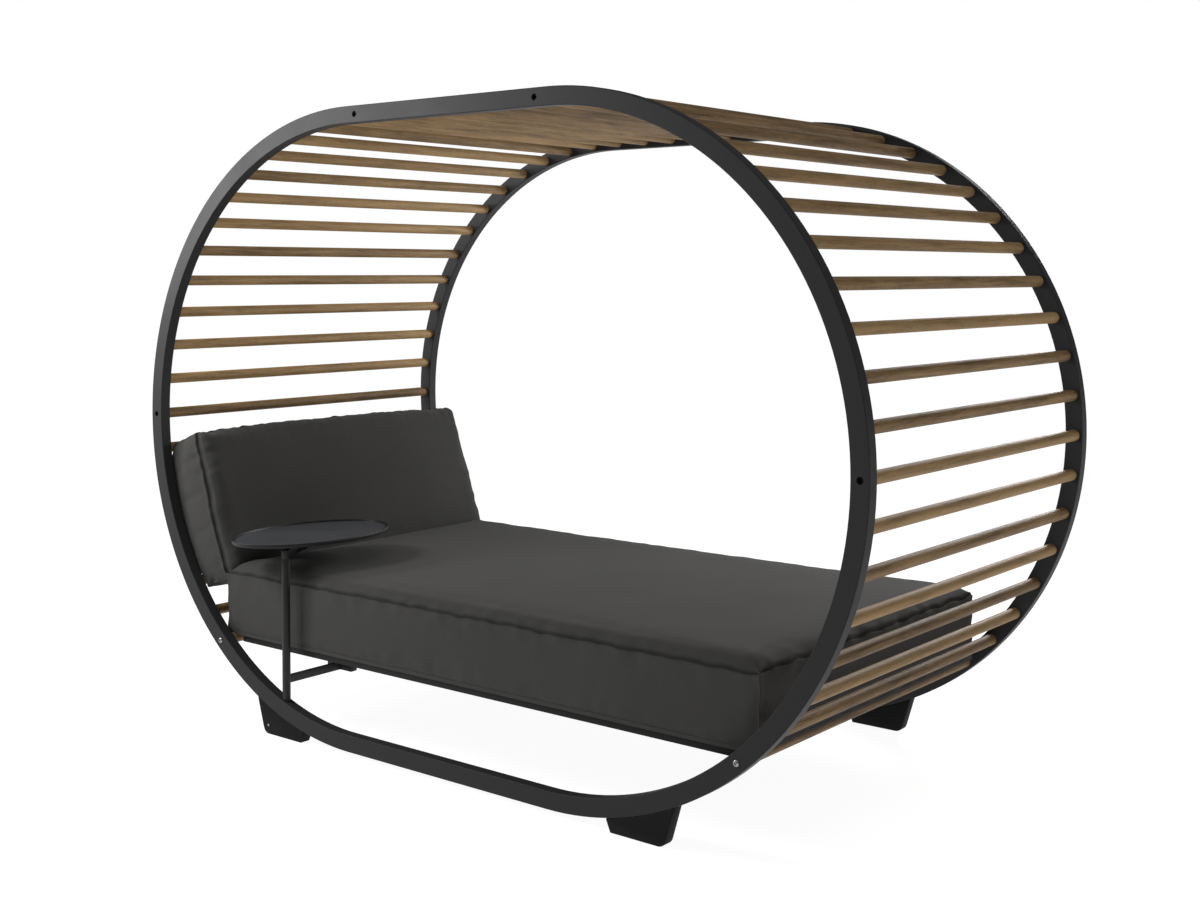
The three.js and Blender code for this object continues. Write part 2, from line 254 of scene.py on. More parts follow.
slat_boxes = [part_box(f"slat_{number:02d}") for number in range(1, 48)]
slat_centres = [(low + high) / 2 for low, high in slat_boxes]
front_low, front_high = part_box("hoop_front")
rear_low, rear_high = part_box("hoop_rear")
hoops_middle = (front_low.y + rear_high.y) / 2
bar = 0.050
bar_corner = 0.0024
ring_radius = (front_high.z - front_low.z) / 2 - bar / 2
ring_height = (front_high.z + front_low.z) / 2
half_straight = front_high.x - bar / 2 - ring_radius
arc_steps = 96
top_slat = 23
sunk_bolts = (3, 16)
proud_bolts = (23,)
socket_radius = 0.0168
socket_floor = 0.012
bore_radius = 0.0052
bore_start = 0.006
bore_overlap = 0.002
sink_radius = 0.009
sink_depth = 0.008
overrun = 0.004

stations = []
for side in (1, -1):
    for step in range(arc_steps + 1):
        turn = math.pi * step / arc_steps
        outward = Vector((side * math.sin(turn), 0, side * math.cos(turn)))
        middle = Vector((side * half_straight, (front_low.y + front_high.y) / 2, ring_height))
        stations.append((middle + ring_radius * outward, outward, Vector((0, 1, 0))))
profile = rounded_profile(bar, front_high.y - front_low.y, bar_corner)
hoop = loose_object("hoop_front_bar", *swept_ring(stations, profile))
facing_out(hoop.data)

cut_verts, cut_faces = [], []


def add_cut(radius, sides, start, end, centre):
    verts, faces = drum(radius, sides, start, end, centre)
    cut_faces.extend([[index + len(cut_verts) for index in face] for face in faces])
    cut_verts.extend(verts)


for number, centre in enumerate(slat_centres):
    steps = number - top_slat
    at = (centre.x, centre.z)
    add_cut(socket_radius, 32, front_high.y - socket_floor, front_high.y + overrun, at)
    if abs(steps) in sunk_bolts + proud_bolts:
        add_cut(bore_radius, 24, front_low.y + bore_start,
                front_high.y - socket_floor + bore_overlap, at)
    if abs(steps) in sunk_bolts:
        add_cut(sink_radius, 32, front_low.y - overrun, front_low.y + sink_depth, at)
cutter = loose_object("cutter", cut_verts, cut_faces)
facing_out(cutter.data)
cut = hoop.modifiers.new("sockets", "BOOLEAN")
cut.object = cutter
cut.operation = "DIFFERENCE"
cut.solver = "EXACT"
hoop_mesh = baked(hoop)
bpy.data.objects.remove(cutter)

hoop_metal = powder_coat("hoop_metal", (0.024, 0.0242, 0.0246), 0.48, 0.11)
rear_mesh = hoop_mesh.copy()
rear_mesh.transform(
    Matrix.Translation((0, 2 * hoops_middle, 0)) @ Matrix.Rotation(math.pi, 4, "Z"))
finish_mesh("hoop_bar_front", hoop_mesh, hoop_metal, replaces=["hoop_front"])
finish_mesh("hoop_bar_rear", rear_mesh, hoop_metal, replaces=["hoop_rear"])


# Slats: 47 turned rods of oiled hardwood, each pushed into a socket of both hoops. The grain runs
# along the rod and every rod is cut from another board, so each has a tone of its own.
def new_tree(name, inputs):
    """A node group for a modifier, with named inputs for its sizes."""
    tree = bpy.data.node_groups.new(name, "GeometryNodeTree")
    tree.interface.new_socket("Geometry", in_out="OUTPUT", socket_type="NodeSocketGeometry")
    tree.interface.new_socket("Geometry", in_out="INPUT", socket_type="NodeSocketGeometry")
    for label, kind in inputs:
        tree.interface.new_socket(label, in_out="INPUT", socket_type="NodeSocket" + kind)
    return tree, tree.nodes.new("NodeGroupInput"), tree.nodes.new("NodeGroupOutput")


def add_node(tree, kind, settings=None, **sockets):
    """Adds a node to a tree. Values are set on its inputs, and sockets are linked to them."""
    made = tree.nodes.new(kind)
    for name, value in (settings or {}).items():
        setattr(made, name, value)
    for label, value in sockets.items():
        socket = pick(made.inputs, label.replace("_", " "))
        if isinstance(value, bpy.types.NodeSocket):
            tree.links.new(value, socket)
        else:
            socket.default_value = value
    return made


def set_on_points(tree, entry, leave, points, part, turn):
    """Ends a tree: copies of a part stand on its points, as real geometry in its material."""
    placed = add_node(tree, "GeometryNodeInstanceOnPoints", None, Points=points, Instance=part,
                      Rotation=turn)
    real = add_node(tree, "GeometryNodeRealizeInstances", None, Geometry=placed.outputs[0])
    clad = add_node(tree, "GeometryNodeSetMaterial", None, Geometry=real.outputs[0],
                    Material=entry.outputs["Material"])
    tree.links.new(clad.outputs[0], leave.inputs[0])


def grown(name, points, tree, values, attributes=()):
    """Runs a tree on loose points and gives its mesh. Attributes are (name, kind, values)."""
    source = loose_object(name, points, [])
    for label, kind, numbers in attributes:
        layer = source.data.attributes.new(label, kind, "POINT")
        field = "vector" if kind == "FLOAT_VECTOR" else "value"
        layer.data.foreach_set(field, np.asarray(numbers, np.float32).ravel())
    modifier = source.modifiers.new(name, "NODES")
    modifier.node_group = tree
    for item in tree.interface.items_tree:
        if item.in_out == "INPUT" and item.name in values:
            modifier[item.identifier] = values[item.name]
    return baked(source)


tree, entry, leave = new_tree("rods", [
    ("Radius", "Float"), ("Length", "Float"), ("Sides", "Int"), ("Seed", "Int"),
    ("Material", "Material")])
tone = add_node(tree, "FunctionNodeRandomValue", {"data_type": "FLOAT"},
                Seed=entry.outputs["Seed"])
toned = add_node(tree, "GeometryNodeStoreNamedAttribute", {"data_type": "FLOAT"},
                 Geometry=entry.outputs["Geometry"], Name="tone", Value=tone.outputs[1])
rod = add_node(tree, "GeometryNodeMeshCylinder", None, Vertices=entry.outputs["Sides"],
               Radius=entry.outputs["Radius"], Depth=entry.outputs["Length"])
set_on_points(tree, entry, leave, toned.outputs[0], rod.outputs["Mesh"], (math.pi / 2, 0, 0))


def oiled_wood(name, dark, light):
    """Long grain: broad bands of colour, fine streaks and short dark pores, all along Y."""
    material, start = new_material(name)
    place = start.node("TexCoord", out="Object")
    tone = start.node("Attribute", {"attribute_name": "tone"}, out="Fac")
    shift = start.node("CombineXYZ", None, {"X": tone * 31, "Y": tone * 53, "Z": tone * 17})
    moved = start.node("VectorMath", {"operation": "ADD"}, {0: place, 1: shift})
    long = start.node("Mapping", None, {"Vector": moved, "Scale": (1, 0.07, 1)})
    longer = start.node("Mapping", None, {"Vector": moved, "Scale": (1, 0.018, 1)})
    bands = speckle(start, long, 46, 3, 0.55, Distortion=0.6)
    streaks = speckle(start, longer, 340, 3, 0.62)
    pores = speckle(start, start.node("Mapping", None, {"Vector": moved, "Scale": (1, 0.03, 1)}),
                    1500, 1, 0.5)
    pore = start.node("MapRange", {"interpolation_type": "SMOOTHSTEP"}, {
        "Value": pores, "From Min": 0.60, "From Max": 0.72, "To Min": 0.0, "To Max": 1.0})
    mottle = speckle(start, long, 150, 3, 0.6, Distortion=0.8)
    share = bands * 0.9 + streaks * 0.7 + mottle * 0.6 - 0.6 + (tone - 0.5) * 0.45
    wood = start.node("ValToRGB", {"stops": [
        (0.10, dark), (0.42, [(a + b) / 2 * 0.96 for a, b in zip(dark, light)]),
        (0.78, light)]}, {"Fac": share}, out="Color")
    soot = [part * 0.45 for part in dark]
    close_surface(start, {
        "Base Color": blend_colours(start, pore * 0.55, wood, soot),
        "Roughness": 0.62 + (streaks - 0.5) * 0.22 + pore * 0.12,
        "Specular IOR Level": 0.25,
    }, streaks * 0.5 - pore * 0.6 + bands * 0.2, 0.35, 0.0006)
    return material


slat_wood = oiled_wood("slat_wood", (0.080, 0.044, 0.0165), (0.33, 0.210, 0.090))
slat_radius = 0.0165
slat_low, slat_high = slat_boxes[0]
slat_mesh = grown("slats", slat_centres, tree, {
    "Radius": slat_radius, "Length": slat_high.y - slat_low.y, "Sides": 40, "Seed": 11,
    "Material": slat_wood})
finish_mesh("slats", slat_mesh, slat_wood,
            replaces=[f"slat_{number:02d}" for number in range(1, 48)])


# Tie bolts: a threaded rod runs through some of the slats and is closed on both hoops, by black
# socket screws sunk in counterbores and, at the lowest slats, by bright button heads.
def turned(name, rings, sides=24):
    """A part turned about Y, open face to -Y. Rings are (radius, depth, six-sided or not)."""
    verts = []
    for radius, depth, six_sided in rings:
        for step in range(sides):
            angle = 2 * math.pi * step / sides
            reach = radius
            if six_sided:
                reach /= math.cos((angle + math.pi / 6) % (math.pi / 3) - math.pi / 6)
            verts.append(Vector((reach * math.cos(angle), depth, reach * math.sin(angle))))
    faces = skin_faces(len(rings), sides)
    faces.append(list(range(sides)))
    faces.append(list(range(len(rings) * sides - 1, (len(rings) - 1) * sides - 1, -1)))
    part = loose_object(name, verts, faces)
    facing_out(part.data)
    return part


scatter, entry, leave = new_tree("scatter", [("Part", "Object"), ("Material", "Material")])
part = add_node(scatter, "GeometryNodeObjectInfo", {"transform_space": "ORIGINAL"},
                Object=entry.outputs["Part"])
turn = add_node(scatter, "GeometryNodeInputNamedAttribute", {"data_type": "FLOAT_VECTOR"},
                Name="turn")
set_on_points(scatter, entry, leave, entry.outputs["Geometry"], part.outputs["Geometry"],
              turn.outputs["Attribute"])


def bare_metal(name, colour, rough):
    """Turned and plated metal: fine rings of tool marks and small scuffs."""
    material, start = new_material(name)
    place = start.node("TexCoord", out="Object")
    scuffs = speckle(start, place, 900, 3, 0.65)
    film = speckle(start, place, 130, 2, 0.5)
    dark = [part * 0.8 for part in colour]
    close_surface(start, {
        "Base Color": blend_colours(start, scuffs, dark, colour),
        "Metallic": 1.0,
        "Roughness": rough + (scuffs - 0.5) * 0.25 + (film - 0.5) * 0.15,
    }, scuffs, 0.15, 0.0002)
    return material


def placed_parts(name, part, spots, material):
    """Sets copies of a turned part on spots, (place, turn), and removes the part."""
    mesh = grown(name, [place for place, _ in spots], scatter,
                 {"Part": part, "Material": material},
                 [("turn", "FLOAT_VECTOR", [turn for _, turn in spots])])
    bpy.data.objects.remove(part)
    return finish_mesh(name, mesh, material)


def bolt_spots(steps, depth):
    spots = []
    for step in steps:
        for number in (top_slat - step, top_slat + step):
            centre = slat_centres[number]
            spots.append(((centre.x, front_low.y + depth, centre.z), (0, 0, 0)))
            spots.append(((centre.x, rear_high.y - depth, centre.z), (0, 0, math.pi)))
    return spots


black_steel = bare_metal("black_steel", (0.008, 0.008, 0.009), 0.60)
bright_steel = bare_metal("bright_steel", (0.36, 0.355, 0.345), 0.36)
sunk_head = turned("sunk_head", [
    (0.0080, 0.0040, False), (0.0080, 0.0008, False), (0.0072, 0.0, False),
    (0.0040, 0.0, True), (0.0038, 0.0003, True), (0.0038, 0.0032, True), (0.0008, 0.0036, False)])
button_head = turned("button_head", [
    (0.0088, 0.0002, False), (0.0088, -0.0006, False), (0.0083, -0.0018, False),
    (0.0070, -0.0032, False), (0.0052, -0.0042, False), (0.0032, -0.0046, True),
    (0.0030, -0.0043, True), (0.0030, -0.0012, True), (0.0006, -0.0006, False)])
sunk_depth = 0.0042
placed_parts("sunk_bolts", sunk_head, bolt_spots(sunk_bolts, sunk_depth), black_steel)
placed_parts("button_bolts", button_head, bolt_spots(proud_bolts, 0.0), bright_steel)


# Feet: four moulded black plastic blocks as deep as the bar, shaped to the hoop's underside and
# held by a screw. One part serves all four corners, turned half round at the head end.
foot_toe = half_straight + 0.2124
foot_heel = foot_toe + 0.1685
foot_corner = 0.020
heel_lean = 0.3017
toe_lean = 0.433
bar_outside = ring_radius + bar / 2 + 0.0003
screw_along = half_straight + 0.3615
screw_height = 0.028


def meet_bar(start_x, lean):
    """Where a leaning side of the foot meets the bar's outside."""
    low, high = 0.0, 0.15
    for _ in range(40):
        level = (low + high) / 2
        x = start_x + lean * level
        reach = math.hypot(x - half_straight, level - ring_height)
        low, high = (level, high) if reach > bar_outside else (low, level)
    return math.atan2(x - half_straight, ring_height - level)


def rounded_edges(piece, width, segments, angle):
    """Rounds the edges that are sharper than an angle, and gives the mesh for the object."""
    bevel = piece.modifiers.new("eased", "BEVEL")
    bevel.width = width
    bevel.segments = segments
    bevel.limit_method = "ANGLE"
    bevel.angle_limit = math.radians(angle)
    return baked(piece)


def foot_mesh():
    """The foot's side outline, with a bent heel corner and the bar's arc on top, made solid."""
    toe_angle = meet_bar(foot_toe, -toe_lean)
    heel_angle = meet_bar(foot_heel, heel_lean)
    run = math.hypot(1, heel_lean)
    first = Vector((foot_heel - foot_corner, 0))
    last = Vector((foot_heel + foot_corner * heel_lean / run, foot_corner / run))
    outline = [Vector((foot_toe, 0))]
    for step in range(9):
        share = step / 8
        outline.append((1 - share) ** 2 * first + 2 * share * (1 - share) * Vector((foot_heel, 0))
                       + share ** 2 * last)
    for step in range(21):
        angle = heel_angle + (toe_angle - heel_angle) * step / 20
        outline.append(Vector((half_straight + bar_outside * math.sin(angle),
                               ring_height - bar_outside * math.cos(angle))))
    front, back = front_low.y, front_high.y
    count = len(outline)
    verts = [Vector((x, y, z)) for y in (front, back) for x, z in outline]
    faces = [list(range(count)), list(range(2 * count - 1, count - 1, -1))]
    for index in range(count):
        following = (index + 1) % count
        faces.append((index, index + count, following + count, following))
    piece = loose_object("foot", verts, faces)
    facing_out(piece.data)
    return rounded_edges(piece, 0.0022, segments=3, angle=20)


def moulded_plastic(name, colour):
    """Matt moulded plastic: a fine spark-eroded grain with faint flow marks."""
    material, start = new_material(name)
    place = start.node("TexCoord", out="Object")
    grain = speckle(start, place, 1100, 2, 0.55)
    flow = speckle(start, place, 22, 3, 0.6, Distortion=1.2)
    dark = [part * 0.8 for part in colour]
    light = [part * 1.3 for part in colour]
    close_surface(start, {
        "Base Color": blend_colours(start, flow * 0.6 + grain * 0.4, dark, light),
        "Roughness": 0.62 + (flow - 0.5) * 0.2,
        "Specular IOR Level": 0.10,
    }, grain, 0.2, 0.0004)
    return material


foot_plastic = moulded_plastic("foot_plastic", (0.006, 0.006, 0.0063))
foot = foot_mesh()
hoop_step = Matrix.Translation((0, rear_low.y - front_low.y, 0))
half_round = (Matrix.Translation((0, front_low.y + front_high.y, 0))
              @ Matrix.Rotation(math.pi, 4, "Z"))
foot_places = {
    "foot_front_tail": Matrix(), "foot_front_head": half_round,
    "foot_rear_tail": hoop_step, "foot_rear_head": hoop_step @ half_round}
screw_spots = []
for node, place in foot_places.items():
    copy = foot.copy()
    copy.transform(place)
    finish_mesh(node.replace("foot", "plastic_foot"), copy, foot_plastic,
                replaces=[node])
    spot = place @ Vector((screw_along, front_high.y, screw_height))
    screw_spots.append((tuple(spot), (0, 0, math.pi if place.to_3x3()[0][0] > 0 else 0)))
pan_head = turned("pan_head", [
    (0.0042, 0.0006, False), (0.0042, -0.0010, False), (0.0036, -0.0019, False),
    (0.0020, -0.0023, False), (0.0013, -0.0022, True), (0.0011, -0.0008, True)], 18)
placed_parts("foot_screws", pan_head, screw_spots, bright_steel)


# Bed frame and deck: two long beams of rectangular tube with five cross members welded between
# them. A plate at each beam's end hooks over the lowest slat, and a dark coated board lies on top.
def eased_copy(node, width):
    """A CAD node's shape, merged and with its edges rounded."""
    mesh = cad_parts[node].data.copy()
    work = bmesh.new()
    work.from_mesh(mesh)
    bmesh.ops.remove_doubles(work, verts=work.verts, dist=0.00002)
    bmesh.ops.dissolve_limit(work, angle_limit=math.radians(1), verts=work.verts,
                             edges=work.edges)
    work.to_mesh(mesh)
    work.free()
    for layer in list(mesh.attributes):
        if layer.name in ("sharp_face", "sharp_edge", "custom_normal"):
            mesh.attributes.remove(layer)
    piece = bpy.data.objects.new("eased", mesh)
    bpy.context.collection.objects.link(piece)
    return rounded_edges(piece, width, segments=2, angle=30)


bed_metal = powder_coat("bed_metal", (0.012, 0.0122, 0.0125), 0.50, 0.15)
finish_mesh("bed_chassis", eased_copy("bed_frame", 0.0012), bed_metal,
            replaces=["bed_frame"])


def coated_board(name, colour):
    """Film-faced board: smooth dark resin with a faint wire-mesh print and fine scratches."""
    material, start = new_material(name)
    place = start.node("TexCoord", out="Object")
    along = start.node("SeparateXYZ", None, {"Vector": place}, out="X")
    across = start.node("SeparateXYZ", None, {"Vector": place}, out="Y")
    mesh_print = along.maths("SINE", along * 1250) * across.maths("SINE", across * 1250)
    film = speckle(start, place, 30, 4, 0.6)
    dark = [part * 0.8 for part in colour]
    light = [part * 1.25 for part in colour]
    close_surface(start, {
        "Base Color": blend_colours(start, film, dark, light),
        "Roughness": 0.55 + (film - 0.5) * 0.25,
        "Specular IOR Level": 0.15,
    }, mesh_print * 0.5 + film, 0.15, 0.0004)
    return material


deck_board = coated_board("deck_board", (0.011, 0.0108, 0.0105))
finish_mesh("deck", eased_copy("bed_deck", 0.0015), deck_board,
            replaces=["bed_deck"])


# Mattress: a foam block in a boxed cover of charcoal outdoor cloth, laid loose on the deck. The
# cover is cut in panels and sewn along every edge, with the seam allowance folded to the sides,
# and a flat hem hangs from it over the edge of the deck.
def grid_lines(size, edge, cell):
    """Where a cushion's grid lines lie: even across the panel, closer on its rounded edges."""
    half = size / 2
    cells = max(1, round((size - 2 * edge) / cell))
    rounded = [share * edge - half for share in (0, 0.28, 0.62)]
    even = list(np.linspace(-half + edge, half - edge, cells + 1))
    return np.array(rounded + even + [-line for line in reversed(rounded)])


def boxed_grid(lines):
    """The skin of a box on a lattice: the lattice places, and the faces, all facing outwards."""
    last = [len(axis) - 1 for axis in lines]
    index, places, faces = {}, [], []

    def corner(spot):
        if spot not in index:
            index[spot] = len(places)
            places.append([lines[axis][spot[axis]] for axis in range(3)])
        return index[spot]

    for axis in range(3):
        first, second = (axis + 1) % 3, (axis + 2) % 3
        for level in (0, last[axis]):
            for a in range(last[first]):
                for b in range(last[second]):
                    quad = []
                    for step_a, step_b in ((0, 0), (1, 0), (1, 1), (0, 1)):
                        spot = [0, 0, 0]
                        spot[axis], spot[first], spot[second] = level, a + step_a, b + step_b
                        quad.append(corner(tuple(spot)))
                    faces.append(quad if level else quad[::-1])
    return np.array(places), faces


def pillow(gap, reach):
    """Rises from 0 at a seam to 1 at its reach, steep at first, as a filled edge does."""
    left = np.clip(1 - gap / reach, 0, 1)
    return np.sqrt(1 - left * left)


def cushion_form(places, sizes, taper, sink, rise, reach, hollow, crown, pulls, waist, edge):
    """Shapes box places into a boxed cushion on z = 0: rounded, filled, and drawn in or out."""
    half = np.array(sizes) / 2
    core = np.clip(places, edge - half, half - edge)
    off = places - core
    distance = np.linalg.norm(off, axis=1)
    share = np.where(distance > 0, np.abs(off).max(axis=1) / np.maximum(distance, 1e-9), 1)
    at = core + off * share[:, None]
    along, across = at[:, 0] / half[0], at[:, 1] / half[1]
    height = at[:, 2] / sizes[2] + 0.5
    bow, flat_bow = 2.4, 8
    fade_along, fade_across = 1 - np.abs(along) ** bow, 1 - np.abs(across) ** bow
    belly = 4 * height * (1 - height)
    pull_x, pull_y = [low + (high - low) * height for low, high in pulls]
    x = at[:, 0] - along * (pull_x * (1 - np.abs(across) ** flat_bow) + waist[0] * belly)
    y = at[:, 1] - across * (pull_y * fade_along + waist[1] * belly)
    depth = half - np.abs(places)
    filled = rise * pillow(depth[:, 0], reach) * pillow(depth[:, 1], reach)
    filled += crown * fade_along * fade_across - hollow(x, y)
    top = height * (sizes[2] * (1 + taper * across) + filled)
    return np.stack([x, y, top - (1 - height) * sink(x, y)], axis=1)


def seam_gaps(box, sizes):
    """How far each place is from the nearest seam that runs along X, along Y and along Z."""
    depth = np.array(sizes) / 2 - np.abs(box)
    return np.stack([np.maximum(depth[:, (way + 1) % 3], depth[:, (way + 2) % 3])
                     for way in range(3)], axis=1)


def inflate(piece, held, pressure, shrink, cap):
    """Blows a cover up as cloth between its held seams, and gives where its points then lie."""
    frames = 20
    rest = np.array([vert.co for vert in piece.data.vertices])
    group = piece.vertex_groups.new(name="held")
    for weight in np.unique(held):
        group.add([int(i) for i in np.flatnonzero(held == weight)], float(weight), "REPLACE")
    cloth = piece.modifiers.new("cover", "CLOTH")
    settings = cloth.settings
    settings.quality = 6
    settings.mass = 0.3
    settings.tension_stiffness = settings.compression_stiffness = 25
    settings.shear_stiffness = 8
    settings.bending_stiffness = 1.2
    settings.use_pressure = True
    settings.uniform_pressure_force = pressure
    settings.shrink_min = shrink
    settings.vertex_group_mass = "held"
    settings.pin_stiffness = 1.0
    settings.effector_weights.gravity = 0
    cloth.point_cache.frame_start = 1
    cloth.point_cache.frame_end = frames
    scene = bpy.context.scene
    scene.frame_start, scene.frame_end = 1, frames
    for number in range(1, frames + 1):
        scene.frame_set(number)
    solved = piece.evaluated_get(bpy.context.evaluated_depsgraph_get())
    moved = np.array([vert.co for vert in solved.data.vertices]) - rest
    piece.modifiers.remove(cloth)
    scene.frame_set(1)
    reach = np.linalg.norm(moved, axis=1)
    share = cap * np.tanh(reach / cap) / np.maximum(reach, 1e-9)
    return rest + moved * share[:, None]


def waves(places, scale, seed):
    """Smooth noise from -1 to 1 at each place."""
    offset = Vector((seed * 7.31, seed * 3.17, seed * 5.73))
    return np.array([noise.noise(Vector(place * scale) + offset) for place in places])


def read_points(mesh, name, width):
    """A mesh's own values, one row to a vertex."""
    values = np.zeros(len(mesh.vertices) * width, np.float32)
    if name in ("co", "normal"):
        mesh.vertices.foreach_get(name, values)
    else:
        mesh.attributes[name].data.foreach_get("vector", values)
    return values.reshape(-1, width).astype(float)


def panel_uv(mesh, box):
    """Lays each panel flat in metres, so that the weave keeps its size and runs with the edges."""
    uv = mesh.uv_layers.new(name="weave")
    corner_verts = np.zeros(len(mesh.loops), np.int32)
    mesh.loops.foreach_get("vertex_index", corner_verts)
    flat = box[corner_verts].reshape(-1, 4, 3)
    normal_axis = np.argmin(np.ptp(flat, axis=1), axis=1)
    spread = np.zeros((len(flat), 4, 2))
    for axis, (u, v) in {0: (1, 2), 1: (0, 2), 2: (0, 1)}.items():
        chosen = normal_axis == axis
        spread[chosen] = flat[chosen][:, :, [u, v]]
    uv.data.foreach_set("uv", spread.astype(np.float32).ravel())


def make_cover(name, sizes, cell, form, pressure, cap, seams, place, seed):
    """A sewn cover: grid, cloth, one subdivision, then seams drawn in with small puckers."""
    seam_width, seam_shade_width, corner_width = 0.0036, 0.0026, 0.0035
    ridge_place, ridge_width = 0.0060, 0.0028
    foot_fade, seam_fade, swell_fade, wander_fade, tip_fade = 0.02, 0.005, 0.08, 0.03, 0.035
    box, faces = boxed_grid([grid_lines(size, form["edge"], cell) for size in sizes])
    piece = loose_object(name, cushion_form(box, sizes, **form), faces)
    mesh = piece.data
    under = box[:, 2] <= -sizes[2] / 2 + 1e-6
    gaps = seam_gaps(box, sizes)
    on_seam = gaps.min(axis=1) < 1e-6
    held = np.where(under | on_seam, 1.0, 0.0)
    solved = inflate(piece, held, pressure, -seams["slack"], cap)
    floor = np.where(under, -1.0, cushion_form(box, sizes, **form)[:, 2] * 0.2)
    solved[:, 2] = np.maximum(solved[:, 2], floor)
    mesh.vertices.foreach_set("co", solved.astype(np.float32).ravel())
    panel_uv(mesh, box)
    layer = mesh.attributes.new("box", "FLOAT_VECTOR", "POINT")
    layer.data.foreach_set("vector", box.astype(np.float32).ravel())
    smooth = piece.modifiers.new("smooth", "SUBSURF")
    smooth.levels = smooth.render_levels = 1
    mesh = baked(piece)

    spots = read_points(mesh, "co", 3)
    normals = read_points(mesh, "normal", 3)
    box = read_points(mesh, "box", 3)
    half = np.array(sizes) / 2
    gaps = seam_gaps(box, sizes)
    gap = gaps.min(axis=1)
    free = np.clip((box[:, 2] + half[2]) / foot_fade, 0, 1)
    off = np.zeros(len(box))
    for way in range(3):
        which = np.sign(box[:, (way + 1) % 3]) * 4 + np.sign(box[:, (way + 2) % 3])
        run = np.stack([box[:, way] * seams["pitch"], gaps[:, way] * 9, which], axis=1)
        patch = np.clip(waves(run * (0.16, 0.3, 1), 1.0, seed + 9 + way) * 2.2 + 0.55, 0.1, 1.3)
        fade = np.exp(-gaps[:, way] / seams["reach"]) * (1 - np.exp(-gaps[:, way] / seam_fade))
        off += seams["pucker"] * waves(run, 1.0, seed + 1 + way) * patch * fade
    off += seams["swell"] * waves(box, 5.0, seed + 20) * np.clip(gap / swell_fade, 0, 1)
    depth = half - np.abs(box)
    sewn = gaps[:, :2].min(axis=1)
    on_side = depth[:, 2] > 1e-6
    off += seams["ridge"] * np.exp(-((depth[:, 2] - ridge_place) / ridge_width) ** 2) * on_side
    off += seams["corner"] * np.exp(-(gaps[:, 2] / corner_width) ** 2)
    off -= seams["groove"] * np.clip(1 - sewn / seam_width, 0, 1)
    spots += normals * (off * free)[:, None]
    wander = np.stack([waves(box, 20, seed + 30 + axis) for axis in range(3)], axis=1)
    spots += wander * (seams["wander"] * np.exp(-gap / wander_fade) * free)[:, None]
    crumple = np.stack([waves(box, 42, seed + 40 + axis) for axis in range(3)], axis=1)
    tip = np.linalg.norm(depth, axis=1)
    spots += crumple * (seams["crumple"] * np.exp(-tip / tip_fade) * free)[:, None]
    mesh.vertices.foreach_set("co", spots.astype(np.float32).ravel())
    # Painted shade: the seam attribute holds a dark line along the sewn seams, which the cloth
    # blends into its colour.
    layer = mesh.attributes.new("seam", "FLOAT", "POINT")
    seam_shade = np.exp(-(sewn / seam_shade_width) ** 2) * free
    layer.data.foreach_set("value", seam_shade.astype(np.float32))
    mesh.transform(place)
    return mesh


def woven_cloth(name, colour):
    """Plain weave of dyed yarn: over and under, slubs along both yarns, and painted shade in the
    sunk seams.
    """
    material, start = new_material(name)
    uv = start.node("UVMap", {"uv_map": "weave"}, out="UV")
    u = start.node("SeparateXYZ", None, {"Vector": uv}, out="X")
    v = start.node("SeparateXYZ", None, {"Vector": uv}, out="Y")
    yarn = 0.0014
    turn = math.pi / yarn
    warp = u.maths("SINE", u * turn)
    weft = v.maths("SINE", v * turn)
    over = warp * weft * 0.5 + 0.5
    slub_u = speckle(start, start.node("Mapping", None, {"Vector": uv, "Scale": (1, 0.03, 1)}),
                     620, 3, 0.6)
    slub_v = speckle(start, start.node("Mapping", None, {"Vector": uv, "Scale": (0.03, 1, 1)}),
                     620, 3, 0.6)
    fade = speckle(start, uv, 3.5, 3, 0.5)
    fuzz = speckle(start, uv, 2600, 2, 0.6)
    share = (over * 0.25 + slub_u * 0.5 + slub_v * 0.5 + fuzz * 0.3 + fade * 0.5) - 0.525
    dark = [part * 0.76 for part in colour]
    light = [part * 1.24 for part in colour]
    cloth = blend_colours(start, share, dark, light)
    seam = start.node("Attribute", {"attribute_name": "seam"}, out="Fac")
    close_surface(start, {
        # Painted shade: the seam attribute darkens the weave along the sewn seams.
        "Base Color": blend_colours(start, seam * 0.75, cloth, [part * 0.25 for part in colour]),
        "Roughness": 0.90 + (fuzz - 0.5) * 0.12,
        "Specular IOR Level": 0.15,
        "Sheen Weight": 0.05,
        "Sheen Roughness": 0.5,
    }, over * 0.7 + slub_u * 0.5 + slub_v * 0.5 + fuzz * 0.25, 0.4, 0.0005)
    return material


